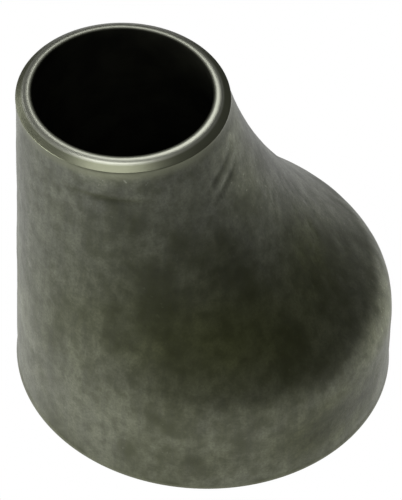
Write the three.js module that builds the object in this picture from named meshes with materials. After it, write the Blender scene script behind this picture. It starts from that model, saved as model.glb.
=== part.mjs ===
// Eccentric butt-weld pipe reducer, NPS 3 x 1 1/2, Schedule 40, to ASME B16.9 and B16.25.
//
// One seamless steel shell, formed from pipe. One side runs straight from end to end, and the
// round side opposite it slopes in from the large end to the small end. Both ends carry a
// weld bevel that leaves a narrow flat land around the bore.
//
// Millimetres, +Z up. The origin is the centre of the large end's face, the small end is up
// and the flat side faces -X.

import * as THREE from 'three';

// Driving dimensions
const HEIGHT = 89; // end face to end face
const LARGE_DIAMETER = 88.9; // outside
const SMALL_DIAMETER = 48.3; // outside
const LARGE_WALL = 5.49;
const SMALL_WALL = 3.68;
const LAND_WIDTH = 1.6; // flat ring left inside each bevel
const BEVEL_ANGLE = THREE.MathUtils.degToRad(37.5); // from the plane of the end face
const COLLAR_HEIGHT = 20; // straight wall above the large end
const SHOULDER_RADIUS = 16; // convex bend of the round side, outside
const SMALL_END_LEAN = THREE.MathUtils.degToRad(14); // of the round side at the small end

// Facets
const SEGMENTS_AROUND = 60;
const ARC_DIVISIONS = 4; // a path gives an arc two segments for each division

// Derived dimensions
const LARGE_RADIUS = LARGE_DIAMETER / 2;
const FLAT_SIDE_X = -LARGE_RADIUS;
const SMALL_ROUND_X = FLAT_SIDE_X + SMALL_DIAMETER; // round side's place at the small end

const bevelHeight = (wall) => (wall - LAND_WIDTH) * Math.tan(BEVEL_ANGLE);

// The round side in the plane of symmetry, from the large end up: straight collar, convex
// shoulder, then one long hollow sweep. The sweep reaches the small end at its set lean and
// touches the shoulder on the way, and its radius and centre follow from that.
function roundSide({ largeX, smallX, bottom, top, shoulderRadius }) {
  const shoulder = new THREE.Vector2(largeX - shoulderRadius, COLLAR_HEIGHT);
  const end = new THREE.Vector2(smallX, HEIGHT);
  const outward = new THREE.Vector2(Math.cos(SMALL_END_LEAN), Math.sin(SMALL_END_LEAN));
  const reach = end.clone().sub(shoulder);
  const sweepRadius =
    (reach.lengthSq() - shoulderRadius ** 2) / (2 * (shoulderRadius - reach.dot(outward)));
  const sweep = end.clone().addScaledVector(outward, sweepRadius);
  const meetAngle = sweep.clone().sub(shoulder).angle();
  const topAngle = Math.asin((sweep.y - top) / sweepRadius);
  return new THREE.Path()
    .moveTo(largeX, bottom)
    .lineTo(largeX, COLLAR_HEIGHT)
    .absarc(shoulder.x, shoulder.y, shoulderRadius, 0, meetAngle, false)
    .absarc(sweep.x, sweep.y, sweepRadius, Math.PI + meetAngle, Math.PI + topAngle, true)
    .getPoints(ARC_DIVISIONS);
}

// Wall thickness at a height: it thins evenly from the top of the collar to the small end.
function wallAt(height) {
  const share = THREE.MathUtils.clamp((height - COLLAR_HEIGHT) / (HEIGHT - COLLAR_HEIGHT), 0, 1);
  return THREE.MathUtils.lerp(LARGE_WALL, SMALL_WALL, share);
}

// Every level section is a circle that spans from the flat side to the round side.
function ring(flatX, roundX, height) {
  return { radius: (roundX - flatX) / 2, centreX: (roundX + flatX) / 2, height };
}

function outerRings() {
  const side = roundSide({
    largeX: LARGE_RADIUS,
    smallX: SMALL_ROUND_X,
    bottom: bevelHeight(LARGE_WALL),
    top: HEIGHT - bevelHeight(SMALL_WALL),
    shoulderRadius: SHOULDER_RADIUS,
  });
  return side.map((point) => ring(FLAT_SIDE_X, point.x, point.y));
}

function innerRings() {
  const side = roundSide({
    largeX: LARGE_RADIUS - LARGE_WALL,
    smallX: SMALL_ROUND_X - SMALL_WALL,
    bottom: 0,
    top: HEIGHT,
    shoulderRadius: SHOULDER_RADIUS - LARGE_WALL,
  });
  return side.map((point) => ring(FLAT_SIDE_X + wallAt(point.y), point.x, point.y));
}

// The outer edge of the flat land around a bore.
function landEdge(bore) {
  return { ...bore, radius: bore.radius + LAND_WIDTH };
}

// One closed loop of rings: large land, outer wall, small land, then back down the bore.
function shellRings() {
  const inner = innerRings();
  const largeBore = inner[0];
  const smallBore = inner[inner.length - 1];
  return [largeBore, landEdge(largeBore), ...outerRings(), landEdge(smallBore), ...inner.reverse()];
}

// Revolves the rings about Z, then moves each one sideways onto its own centre.
function shellGeometry() {
  const rings = shellRings();
  const profile = rings.map(({ radius, height }) => new THREE.Vector2(radius, height));
  const geometry = new THREE.LatheGeometry(profile, SEGMENTS_AROUND);
  geometry.rotateX(Math.PI / 2);
  const position = geometry.attributes.position;
  for (let index = 0; index < position.count; index += 1) {
    position.setX(index, position.getX(index) + rings[index % rings.length].centreX);
  }
  geometry.computeVertexNormals();
  return geometry;
}

// Hot-formed carbon steel under a dark grey-green mill scale.
function scaledSteel() {
  return new THREE.MeshStandardMaterial({ color: 0x55584b, roughness: 0.55, metalness: 0.7 });
}

const reducerBody = new THREE.Mesh(shellGeometry(), scaledSteel());
reducerBody.name = 'reducer_body';

const reducer = new THREE.Group();
reducer.add(reducerBody);

export default reducer;
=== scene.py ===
"""Looks of an eccentric butt-weld pipe reducer: one seamless steel shell under mill scale.

The shell is rebuilt as a fine closed mesh inside the CAD part's size. Lengths are metres in the
row frame: the origin is the centre of the large end's face, +Z points to the small end, and the
flat side faces -X.
"""

import math

import bpy
import numpy as np
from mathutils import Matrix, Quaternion, Vector, noise


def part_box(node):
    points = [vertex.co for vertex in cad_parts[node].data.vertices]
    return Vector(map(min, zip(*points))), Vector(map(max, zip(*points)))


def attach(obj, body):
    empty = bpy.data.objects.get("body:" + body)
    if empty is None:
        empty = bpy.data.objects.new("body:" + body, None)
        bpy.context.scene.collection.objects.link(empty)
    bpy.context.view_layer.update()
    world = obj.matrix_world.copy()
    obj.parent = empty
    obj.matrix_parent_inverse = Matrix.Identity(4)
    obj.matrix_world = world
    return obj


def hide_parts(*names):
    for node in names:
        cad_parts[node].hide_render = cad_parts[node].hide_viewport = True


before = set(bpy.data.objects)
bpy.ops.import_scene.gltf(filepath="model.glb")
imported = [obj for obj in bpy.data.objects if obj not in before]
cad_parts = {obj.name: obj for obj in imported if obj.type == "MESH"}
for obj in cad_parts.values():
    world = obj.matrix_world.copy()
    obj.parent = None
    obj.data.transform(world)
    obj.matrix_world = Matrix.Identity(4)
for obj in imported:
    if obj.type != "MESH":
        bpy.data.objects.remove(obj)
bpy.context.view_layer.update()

MM = 0.001
BODY_NODE = "reducer_body"

# Sizes read from the frame
LOW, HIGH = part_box(BODY_NODE)
HEIGHT = HIGH.z
LARGE_RADIUS = (HIGH.x - LOW.x) / 2
FLAT_SIDE_X = LOW.x

# Sizes of the fitting, the same as the CAD part's
SMALL_DIAMETER = 48.3 * MM
LARGE_WALL = 5.49 * MM
SMALL_WALL = 3.68 * MM
LAND_WIDTH = 1.6 * MM
BEVEL_ANGLE = math.radians(37.5)
COLLAR_HEIGHT = 20 * MM
SHOULDER_RADIUS = 16 * MM
SMALL_END_LEAN = math.radians(14)

SMALL_ROUND_X = FLAT_SIDE_X + SMALL_DIAMETER

# Fineness of the mesh
SEGMENTS_AROUND = 400
OUTER_SPACING = 0.75 * MM
BORE_SPACING = 2 * MM
END_SPACING = 0.5 * MM
EDGE_STEPS = 4

# Rounding of each end's corners, from the outer wall in
WALL_EDGE = 0.12 * MM
LAND_EDGE = 0.7 * MM
BORE_EDGE = 0.2 * MM

# Relief of the formed walls
SWELL = 0.14 * MM
RIPPLE = 0.055 * MM
PIT_DEPTH = 0.07 * MM
LEVEL_GROOVE = 0.20 * MM
SLANTED_GROOVE = 0.18 * MM
GROOVE_DARKENING = 3  # halvings of the colour for each millimetre of a groove's depth
INSET = 0.21 * MM  # keeps the raised places inside the CAD part's size
FORMED_FADE = 4 * MM  # the relief fades out over this height at each end

# Soft patches that paint light and shade onto the scale where its shading comes out lighter or darker:
# azimuth and height of the middle (degrees, mm), reach around the shell and up it, then how many times
# the colour doubles and how olive it turns there
PAINTED_LIGHT_PATCHES = [
    (-20, 50, 85, 32, -0.40, 0.0),  # painted shade on the front
    (22, 43, 58, 18, -0.55, 0.6),
    (30, 62, 30, 10, -0.45, 0.0),
    (46, 14, 42, 12, -1.40, 0.3),  # darker foot of the collar
    (0, 12, 20, 8, -0.30, 0.0),
    (68, 70, 38, 24, 0.65, 0.2),  # painted highlight on the neck
    (74, 82, 32, 7, 0.80, 0.0),
    (60, 87, 30, 4, -0.90, 0.0),  # painted shade just under the bevel
    (-12, 86, 40, 5, 0.80, 0.0),  # painted highlight just under the bevel
    (76, 25, 36, 10, 0.95, 0.2),  # painted highlight on the shoulder
    (76, 47, 34, 15, -0.45, 0.7),
    (-25, 17, 45, 13, 0.20, 0.0),
    (-80, 30, 26, 14, 0.30, 0.0),
    (104, 40, 30, 18, 0.40, 0.0),
]


def bevel_height(wall):
    return (wall - LAND_WIDTH) * math.tan(BEVEL_ANGLE)


def arc(centre, radius, start, end, spacing):
    """Evenly spaced (x, z) points of an arc, both ends included."""
    steps = max(2, round(abs(end - start) * radius / spacing))
    turns = np.linspace(start, end, steps + 1)
    return [(centre[0] + radius * math.cos(t), centre[1] + radius * math.sin(t)) for t in turns]


def line(start, end, spacing):
    """Evenly spaced points between two points, the ends left out."""
    steps = max(1, round(math.dist(start, end) / spacing))
    start, end = np.array(start), np.array(end)
    return [tuple(start + share * (end - start)) for share in np.arange(1, steps) / steps]


def round_side(large_x, small_x, shoulder_radius, bottom, top, spacing):
    """The round side in the plane of symmetry, as (x, z) points from the large end up.

    A straight collar, a convex shoulder, then one hollow sweep that reaches the small end at
    its set lean and touches the shoulder on the way."""
    shoulder = np.array([large_x - shoulder_radius, COLLAR_HEIGHT])
    end = np.array([small_x, HEIGHT])
    outward = np.array([math.cos(SMALL_END_LEAN), math.sin(SMALL_END_LEAN)])
    reach = end - shoulder
    sweep_radius = (reach @ reach - shoulder_radius ** 2) / (2 * (shoulder_radius - reach @ outward))
    sweep = end + outward * sweep_radius
    meet_x, meet_z = sweep - shoulder
    meet = math.atan2(meet_z, meet_x)
    top_angle = math.asin((sweep[1] - top) / sweep_radius)
    bend = arc(shoulder, shoulder_radius, 0, meet, spacing)
    hollow = arc(sweep, sweep_radius, math.pi + meet, math.pi + top_angle, spacing)
    collar = line((large_x, bottom), bend[0], spacing)
    return [(large_x, bottom)] + collar + bend + hollow[1:]


def wall_at(z):
    """Wall thickness at a height: it thins evenly from the top of the collar to the small end."""
    share = min(1, max(0, (z - COLLAR_HEIGHT) / (HEIGHT - COLLAR_HEIGHT)))
    return LARGE_WALL + share * (SMALL_WALL - LARGE_WALL)


def ring(flat_x, round_x, z):
    """A level circle from the flat side to the round side: (centre x, radius, z)."""
    return ((flat_x + round_x) / 2, (round_x - flat_x) / 2, z)


def outer_rings():
    side = round_side(LARGE_RADIUS, SMALL_ROUND_X, SHOULDER_RADIUS, bevel_height(LARGE_WALL),
                      HEIGHT - bevel_height(SMALL_WALL), OUTER_SPACING)
    return [ring(FLAT_SIDE_X, x, z) for x, z in side]


def bore_rings():
    side = round_side(LARGE_RADIUS - LARGE_WALL, SMALL_ROUND_X - SMALL_WALL,
                      SHOULDER_RADIUS - LARGE_WALL, 0, HEIGHT, BORE_SPACING)
    return [ring(FLAT_SIDE_X + wall_at(z), x, z) for x, z in side]


def softened(before, corner, after, reach):
    """A corner of the ring profile as a small curve that starts and ends that far from it."""
    before, corner, after = map(np.array, (before, corner, after))
    start = corner + reach * (before - corner) / np.linalg.norm(before - corner)
    end = corner + reach * (after - corner) / np.linalg.norm(after - corner)
    shares = np.linspace(0, 1, EDGE_STEPS + 1)
    return [tuple((1 - s) ** 2 * start + 2 * s * (1 - s) * corner + s ** 2 * end) for s in shares]


def end_rings(wall_rings, bore_edge, bore_next):
    """One end as (finish, ring) pairs, from the outer wall over the bevel and the land to the bore."""
    centre_x, radius, z = bore_edge
    land_edge = (centre_x, radius + LAND_WIDTH, z)
    corners = [wall_rings[1], wall_rings[0], land_edge, bore_edge, bore_next]
    finishes = [("bevel", WALL_EDGE), ("land", LAND_EDGE), ("bore", BORE_EDGE)]
    rings = []
    for place, (finish, reach) in enumerate(finishes, start=1):
        curve = softened(*corners[place - 1:place + 2], reach)
        if rings:
            between = line(rings[-1][1], curve[0], END_SPACING)
            rings += [(rings[-1][0], r) for r in between]
        rings += [(finish, r) for r in curve]
    return rings


def shell_rings():
    """The whole profile as one closed loop of (finish, ring) pairs."""
    outer, bore = outer_rings(), bore_rings()
    small = end_rings(outer[:-3:-1], bore[-1], bore[-2])
    large = end_rings(outer[:2], bore[0], bore[1])
    wall = [("scale", r) for r in outer[1:-1]]
    inside = [("bore", r) for r in bore[-2:0:-1]]
    return wall + small + inside + large[::-1]


def shell_mesh():
    finishes, rings = zip(*shell_rings())
    centres, radii, heights = np.array(rings).T
    angles = np.linspace(0, 2 * math.pi, SEGMENTS_AROUND, endpoint=False)
    x = centres[:, None] + radii[:, None] * np.cos(angles)
    y = radii[:, None] * np.sin(angles)
    z = np.repeat(heights[:, None], SEGMENTS_AROUND, axis=1)
    points = np.stack([x, y, z], axis=-1).reshape(-1, 3)

    row, column = np.meshgrid(np.arange(len(rings)), np.arange(SEGMENTS_AROUND), indexing="ij")
    next_row, next_column = (row + 1) % len(rings), (column + 1) % SEGMENTS_AROUND
    corners = [row * SEGMENTS_AROUND + column, row * SEGMENTS_AROUND + next_column,
               next_row * SEGMENTS_AROUND + next_column, next_row * SEGMENTS_AROUND + column]
    quads = np.stack(corners, axis=-1).reshape(-1, 4)

    mesh = bpy.data.meshes.new(BODY_NODE)
    mesh.from_pydata(points.tolist(), [], quads.tolist())
    mesh.polygons.foreach_set("use_smooth", np.ones(len(quads), bool))
    mesh.update()
    for finish in ("scale", "bevel", "land", "bore"):
        keep_values(mesh, finish, np.repeat([float(f == finish) for f in finishes], SEGMENTS_AROUND))
    azimuth = np.tile((np.degrees(angles) + 270) % 360 - 180, len(rings))  # 0 is the -Y side, 90 is +X
    keep_values(mesh, "azimuth", azimuth)
    tone_and_painted_light, olive_share = patch_values(azimuth, z.ravel())
    keep_values(mesh, "tone_and_painted_light", tone_and_painted_light)
    keep_values(mesh, "olive", olive_share)
    keep_values(mesh, "radius", np.repeat(radii, SEGMENTS_AROUND))
    unwrap(mesh, row, column, radii, heights)
    return mesh


def keep_values(mesh, name, values):
    """One value for each vertex, kept on the mesh for the material to read."""
    mesh.attributes.new(name, "FLOAT", "POINT").data.foreach_set("value", np.array(values, np.float32))


def read_values(mesh, name):
    values = np.zeros(len(mesh.vertices), np.float32)
    mesh.attributes[name].data.foreach_get("value", values)
    return values


def unwrap(mesh, row, column, radii, heights):
    """Lays the shell out flat for the bake: around it in u, along the closed profile in v."""
    steps = np.hypot(np.roll(radii, -1) - radii, np.roll(heights, -1) - heights)
    along = np.concatenate([[0], np.cumsum(steps)]) / steps.sum()
    left, right = column / SEGMENTS_AROUND, (column + 1) / SEGMENTS_AROUND
    low, high = along[row], along[row + 1]
    u = np.stack([left, right, right, left], axis=-1)
    v = np.stack([low, low, high, high], axis=-1)
    layer = mesh.uv_layers.new(name="OFBake")
    layer.uv.foreach_set("vector", np.stack([u, v], axis=-1).ravel().astype(np.float32))


def noise_at(points, size):
    """Smooth noise from -1 to 1 at each point, with bumps of about that size."""
    return np.array([noise.noise(Vector(p) / size) for p in points])


def bump_shape(value, centre, half_width):
    """1 at the centre, falling smoothly to 0 at half_width on both sides."""
    away = np.clip(np.abs(value - centre) / half_width, 0, 1)
    return 1 - away * away * (3 - 2 * away)


def patch_values(azimuth, z):
    """How many times the colour doubles, or halves if negative, and how olive it turns: the patches'
    painted light and shade, and the darker grooves.
    """
    tone_and_painted_light, olive_share = 0, 0
    for middle, height, around, up, doublings, greenness in PAINTED_LIGHT_PATCHES:
        cover = bump_shape(azimuth, middle, around) * bump_shape(z / MM, height, up)
        tone_and_painted_light = tone_and_painted_light + cover * doublings
        olive_share = olive_share + cover * greenness
    return tone_and_painted_light - GROOVE_DARKENING * groove_depth(azimuth, z) / MM, olive_share


def groove_depth(azimuth, z):
    """Shallow press marks under the small end: one level line and two slanted ones."""
    below_end = (HEIGHT - z) / MM
    level = bump_shape(below_end - 0.03 * azimuth, 9.5, 1.2) * bump_shape(azimuth, -14, 34)
    slanted = sum(bump_shape(below_end + 0.17 * (azimuth - 50), start, 1.3) for start in (10.3, 14))
    slanted = slanted * bump_shape(azimuth, 52, 18)
    return LEVEL_GROOVE * level + SLANTED_GROOVE * slanted


def form_surface(mesh):
    """Moves the formed walls in a little here and there, as pressing leaves them, but not the ends."""
    count = len(mesh.vertices)
    points, normals = np.zeros(count * 3, np.float32), np.zeros(count * 3, np.float32)
    mesh.vertices.foreach_get("co", points)
    mesh.vertex_normals.foreach_get("vector", normals)
    points, normals = points.reshape(-1, 3), normals.reshape(-1, 3)
    scale, bore = read_values(mesh, "scale"), read_values(mesh, "bore")
    swell = SWELL * noise_at(points, 17 * MM)
    ripple = RIPPLE * noise_at(points, 3.6 * MM)
    pits = PIT_DEPTH * np.clip(noise_at(points, 1.7 * MM) * 4 - 1.6, 0, 1)
    grooves = groove_depth(read_values(mesh, "azimuth"), points[:, 2])
    inward = INSET + pits + grooves * scale
    from_end = np.minimum(points[:, 2], HEIGHT - points[:, 2])
    fade = np.clip(from_end / FORMED_FADE, 0, 1) * (scale + bore)
    points += normals * ((swell + ripple - inward) * fade)[:, None]
    mesh.vertices.foreach_set("co", points.ravel())
    mesh.update()


class Nodes:
    """Short calls that add linked shader nodes to one material."""

    def __init__(self, name):
        self.material = bpy.data.materials.new(name)
        self.material.use_nodes = True
        self.tree = self.material.node_tree
        self.shader = self.tree.nodes["Principled BSDF"]
        self.place = self.add("TexCoord").outputs["Object"]
        split = self.add("SeparateXYZ")
        self.link(self.place, split.inputs[0])
        self.height = split.outputs["Z"]

    def add(self, kind, **settings):
        node = self.tree.nodes.new("ShaderNode" + kind)
        for key, value in settings.items():
            setattr(node, key, value)
        return node

    def link(self, source, socket):
        if isinstance(source, bpy.types.NodeSocket):
            self.tree.links.new(source, socket)
        else:
            socket.default_value = source

    def attribute(self, name):
        return self.add("Attribute", attribute_name=name).outputs["Fac"]

    def math(self, operation, a, b=0.0):
        node = self.add("Math", operation=operation)
        self.link(a, node.inputs[0])
        self.link(b, node.inputs[1])
        return node.outputs[0]

    def scaled_place(self, scale):
        node = self.add("VectorMath", operation="MULTIPLY")
        self.link(self.place, node.inputs[0])
        node.inputs[1].default_value = scale
        return node.outputs[0]

    def noise(self, size, detail=3.0, rough=0.55, stretch=1.0):
        """Noise whose grains are about size long, and stretch times as long along Z."""
        node = self.add("TexNoise")
        self.link(self.scaled_place((1 / size, 1 / size, 1 / (size * stretch))), node.inputs["Vector"])
        node.inputs["Scale"].default_value = 1.0
        node.inputs["Detail"].default_value = detail
        node.inputs["Roughness"].default_value = rough
        return node.outputs["Fac"]

    def lathe_lines(self, radius, size):
        """Fine rings left by a lathe tool, about size apart."""
        node = self.add("TexNoise", noise_dimensions="1D")
        self.link(self.math("DIVIDE", radius, size), node.inputs["W"])
        node.inputs["Scale"].default_value = 1.0
        node.inputs["Detail"].default_value = 2
        return node.outputs["Fac"]

    def ramp(self, value, low, high, start=0.0, end=1.0):
        """A smooth step: start where value is low, end where it is high."""
        node = self.add("MapRange", interpolation_type="SMOOTHSTEP")
        self.link(value, node.inputs["Value"])
        for key, number in zip(("From Min", "From Max", "To Min", "To Max"), (low, high, start, end)):
            node.inputs[key].default_value = number
        return node.outputs["Result"]

    def mix(self, share, a, b):
        """A colour between a and b."""
        node = self.add("MixRGB")
        self.link(share, node.inputs["Fac"])
        self.link(a, node.inputs["Color1"])
        self.link(b, node.inputs["Color2"])
        return node.outputs["Color"]

    def tinted(self, colour, tint):
        node = self.add("VectorMath", operation="MULTIPLY")
        self.link(colour, node.inputs[0])
        node.inputs[1].default_value = tint
        return node.outputs["Vector"]

    def scaled(self, colour, factor):
        node = self.add("VectorMath", operation="SCALE")
        self.link(colour, node.inputs["Vector"])
        self.link(factor, node.inputs["Scale"])
        return node.outputs["Vector"]

    def blend(self, share, a, b):
        """A number between a and b."""
        node = self.add("Mix", data_type="FLOAT")
        self.link(share, node.inputs[0])
        self.link(a, node.inputs[2])
        self.link(b, node.inputs[3])
        return node.outputs[0]


def olive(value, strength=1.0):
    """A colour of that value that leans from grey to olive as strength grows."""
    return (value, value * (1 + 0.05 * strength), value * (1 - 0.30 * strength), 1)


# Tones of the finishes; a pair is its darkest and its brightest
CLOUDS = olive(0.060, 1.4), olive(0.124, 0.8)
PALE_PATCH = olive(0.164, 0.9)
DIRT = olive(0.054, 1.4)
STREAK = olive(0.060, 0.7)
DARK_GRAIN = olive(0.052)
FLECK = olive(0.22, 0.8)
TURNED_BEVEL = olive(0.11), olive(0.15, 0.9)
TURNED_LAND = olive(0.25, 0.5), olive(0.34, 0.5)
# The bore's near-black is painted shade, far darker than the scale outside
BORE_PAINTED_SHADE = olive(0.005), olive(0.009)

# Tints that multiply a colour
PAINTED_SHADE_TINT = (1.0, 1.04, 0.55)
NECK_TINT = (1.0, 1.0, 1.10)
OLIVE_TINT = (1.0, 1.05, 0.60)


def scale_colour(n, grain):
    """Mill scale: soft clouds of grey and olive, faint streaks, grain, and flecks, more of them under the
    painted highlights.

    Gives the colour, and the share of each place that is a pale patch."""
    cloud = n.ramp(n.noise(22 * MM, 3), 0.40, 0.60)
    patch = n.ramp(n.noise(7 * MM, 3, 0.5, 1.3), 0.34, 0.68)
    dirt = n.ramp(n.noise(3 * MM, 2, 0.5), 0.36, 0.74)
    streak = n.ramp(n.noise(1.6 * MM, 3, 0.6, 22), 0.42, 0.68)
    fleck = n.ramp(n.noise(1.2 * MM, 2, 0.5), 0.66, 0.74)
    tone_and_painted_light = n.attribute("tone_and_painted_light")
    colour = n.mix(cloud, *CLOUDS)
    colour = n.mix(n.math("MULTIPLY", patch, 0.75), colour, PALE_PATCH)
    colour = n.mix(n.math("MULTIPLY", dirt, 0.6), colour, DIRT)
    colour = n.mix(n.math("MULTIPLY", streak, 0.3), colour, STREAK)
    colour = n.mix(n.ramp(grain, 0.3, 0.7, 0.0, 0.4), colour, DARK_GRAIN)
    # More flecks where the painted highlight patches raise the tone
    flecks = n.math("MULTIPLY", fleck, n.ramp(tone_and_painted_light, 0.0, 0.7, 0.15, 0.7))
    colour = n.mix(flecks, colour, FLECK)
    # Where the colour is halved most, by the painted shade and the darker grooves, it turns olive
    colour = n.mix(n.ramp(tone_and_painted_light, -0.9, 0.1, 0.5, 0.0), colour, n.tinted(colour, PAINTED_SHADE_TINT))
    colour = n.mix(n.ramp(n.height, 25 * MM, 60 * MM), colour, n.tinted(colour, NECK_TINT))
    colour = n.mix(n.attribute("olive"), colour, n.tinted(colour, OLIVE_TINT))
    return colour, patch


def steel_material():
    n = Nodes("scaled_steel")
    bevel, land, bore = map(n.attribute, ("bevel", "land", "bore"))
    grain = n.noise(0.6 * MM, 4, 0.7)
    lines = n.lathe_lines(n.attribute("radius"), 0.25 * MM)
    cut = n.blend(n.ramp(lines, 0.3, 0.7), n.noise(2 * MM, 3), 0.5)
    scale, patch = scale_colour(n, grain)

    rubbed = n.ramp(n.height, HEIGHT - 4.5 * MM, HEIGHT - 2.5 * MM, 0.0, 0.8)
    turned = n.mix(cut, *TURNED_BEVEL)
    # The patches' painted light and shade, and the darker grooves, double or halve the colour here
    colour = n.scaled(n.mix(rubbed, scale, turned), n.math("POWER", 2.0, n.attribute("tone_and_painted_light")))
    colour = n.mix(bevel, colour, turned)
    colour = n.mix(land, colour, n.mix(cut, *TURNED_LAND))
    # The bore gets the near-black painted shade
    colour = n.mix(bore, colour, n.mix(patch, *BORE_PAINTED_SHADE))
    n.link(colour, n.shader.inputs["Base Color"])

    machined = n.math("MAXIMUM", land, bevel)
    rough = n.blend(patch, 0.46, 0.40)
    rough = n.blend(n.ramp(grain, 0.3, 0.7), rough, 0.52)
    rough = n.blend(machined, rough, 0.35)
    n.link(n.blend(bore, rough, 0.8), n.shader.inputs["Roughness"])
    n.link(n.blend(bore, 0.8, 0.0), n.shader.inputs["Metallic"])
    n.link(n.blend(bore, 0.5, 0.05), n.shader.inputs["Specular IOR Level"])

    relief = n.math("ADD", n.math("MULTIPLY", grain, 0.6), n.math("MULTIPLY", patch, 0.4))
    relief = n.blend(machined, relief, lines)
    bump = n.add("Bump")
    n.link(n.blend(machined, 0.5, 0.2), bump.inputs["Strength"])
    bump.inputs["Distance"].default_value = 0.08 * MM
    n.link(relief, bump.inputs["Height"])
    n.link(bump.outputs["Normal"], n.shader.inputs["Normal"])
    return n.material


def reducer():
    mesh = shell_mesh()
    form_surface(mesh)
    mesh.materials.append(steel_material())
    piece = bpy.data.objects.new("reducer_shell", mesh)
    bpy.context.scene.collection.objects.link(piece)
    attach(piece, "root")
    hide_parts(BODY_NODE)


# Stage: pale floor, soft lights and camera
CENTRE = Vector((0, 0, HEIGHT / 2))
WHITE = (1, 1, 1, 1)
LIGHT_DISTANCE = 20 * LARGE_RADIUS
GLOW_START, GLOW_FULL = 0.95 * LARGE_RADIUS, LARGE_RADIUS
GLOW_FADE, GLOW_END = 4.5 * LARGE_RADIUS, 7 * LARGE_RADIUS


def floor():
    """A sheet that the camera sees as even white. The light it gives off starts at the foot of the
    object, so the bore stays dark, and fades away from the object."""
    half = 60 * LARGE_RADIUS
    corners = [(-half, -half, 0), (half, -half, 0), (half, half, 0), (-half, half, 0)]
    mesh = bpy.data.meshes.new("floor")
    mesh.from_pydata(corners, [], [(0, 1, 2, 3)])
    n = Nodes("pale_floor")
    away = n.add("VectorMath", operation="LENGTH")
    n.link(n.place, away.inputs[0])
    distance = away.outputs["Value"]
    fading = n.ramp(distance, GLOW_FADE, GLOW_END, 1.1, 0.0)
    glow = n.math("MULTIPLY", fading, n.ramp(distance, GLOW_START, GLOW_FULL))
    seen = n.add("LightPath").outputs["Is Camera Ray"]
    n.shader.inputs["Base Color"].default_value = (0, 0, 0, 1)
    n.shader.inputs["Specular IOR Level"].default_value = 0
    n.shader.inputs["Emission Color"].default_value = WHITE
    n.link(n.blend(seen, glow, 1.0), n.shader.inputs["Emission Strength"])
    mesh.materials.append(n.material)
    plane = bpy.data.objects.new("floor", mesh)
    plane.location.z = LOW.z - 0.05 * MM
    bpy.context.scene.collection.objects.link(plane)


def direction(azimuth, elevation):
    """Unit vector towards a place round the object: azimuth 0 is the -Y side, 90 is +X."""
    a, e = math.radians(azimuth), math.radians(elevation)
    return Vector((math.sin(a) * math.cos(e), -math.cos(a) * math.cos(e), math.sin(e)))


def soft_light(name, azimuth, elevation, size, power):
    """A square area light, size in large radii and power in watts, that faces the object."""
    data = bpy.data.lights.new(name, "AREA")
    data.size = size * LARGE_RADIUS
    data.energy = power
    lamp = bpy.data.objects.new(name, data)
    towards = direction(azimuth, elevation)
    lamp.location = CENTRE + towards * LIGHT_DISTANCE
    lamp.rotation_euler = towards.to_track_quat("Z", "Y").to_euler()
    bpy.context.scene.collection.objects.link(lamp)


def backdrop():
    """The world: white to the camera, and dark to everything else."""
    world = bpy.data.worlds.new("studio")
    world.use_nodes = True
    nodes, links = world.node_tree.nodes, world.node_tree.links
    seen = nodes.new("ShaderNodeLightPath").outputs["Is Camera Ray"]
    nodes["Background"].inputs["Color"].default_value = WHITE
    links.new(seen, nodes["Background"].inputs["Strength"])
    bpy.context.scene.world = world


def lights():
    backdrop()
    soft_light("left_light", -80, 8, 12, 9)
    soft_light("left_back_light", -120, 6, 10, 2)
    soft_light("top_back_light", 165, 55, 12, 3)
    soft_light("front_light", -21, 61, 15, 6)
    bpy.context.scene.view_settings.view_transform = "Standard"


def camera():
    azimuth, elevation, roll = -5.12, 46.03, 2.0
    distance = 24 * LARGE_RADIUS
    picture_height = 2.600 * LARGE_RADIUS  # at the object's middle
    aim = Vector((-0.0290, -0.1690, 0)) * LARGE_RADIUS
    data = bpy.data.cameras.new("camera")
    data.sensor_width = 36
    data.lens = data.sensor_width * distance / picture_height  # the longer side is the height
    data.clip_start, data.clip_end = 0.01, 50
    cam = bpy.data.objects.new("camera", data)
    back = direction(azimuth, elevation)
    turn = Quaternion((0, 0, 1), math.radians(azimuth))
    cam.location = CENTRE + turn @ aim + back * distance
    cam.rotation_mode = "QUATERNION"
    cam.rotation_quaternion = (-back).to_track_quat("-Z", "Y") @ Quaternion((0, 0, 1), math.radians(roll))
    bpy.context.scene.collection.objects.link(cam)
    bpy.context.scene.camera = cam


reducer()
floor()
lights()
camera()
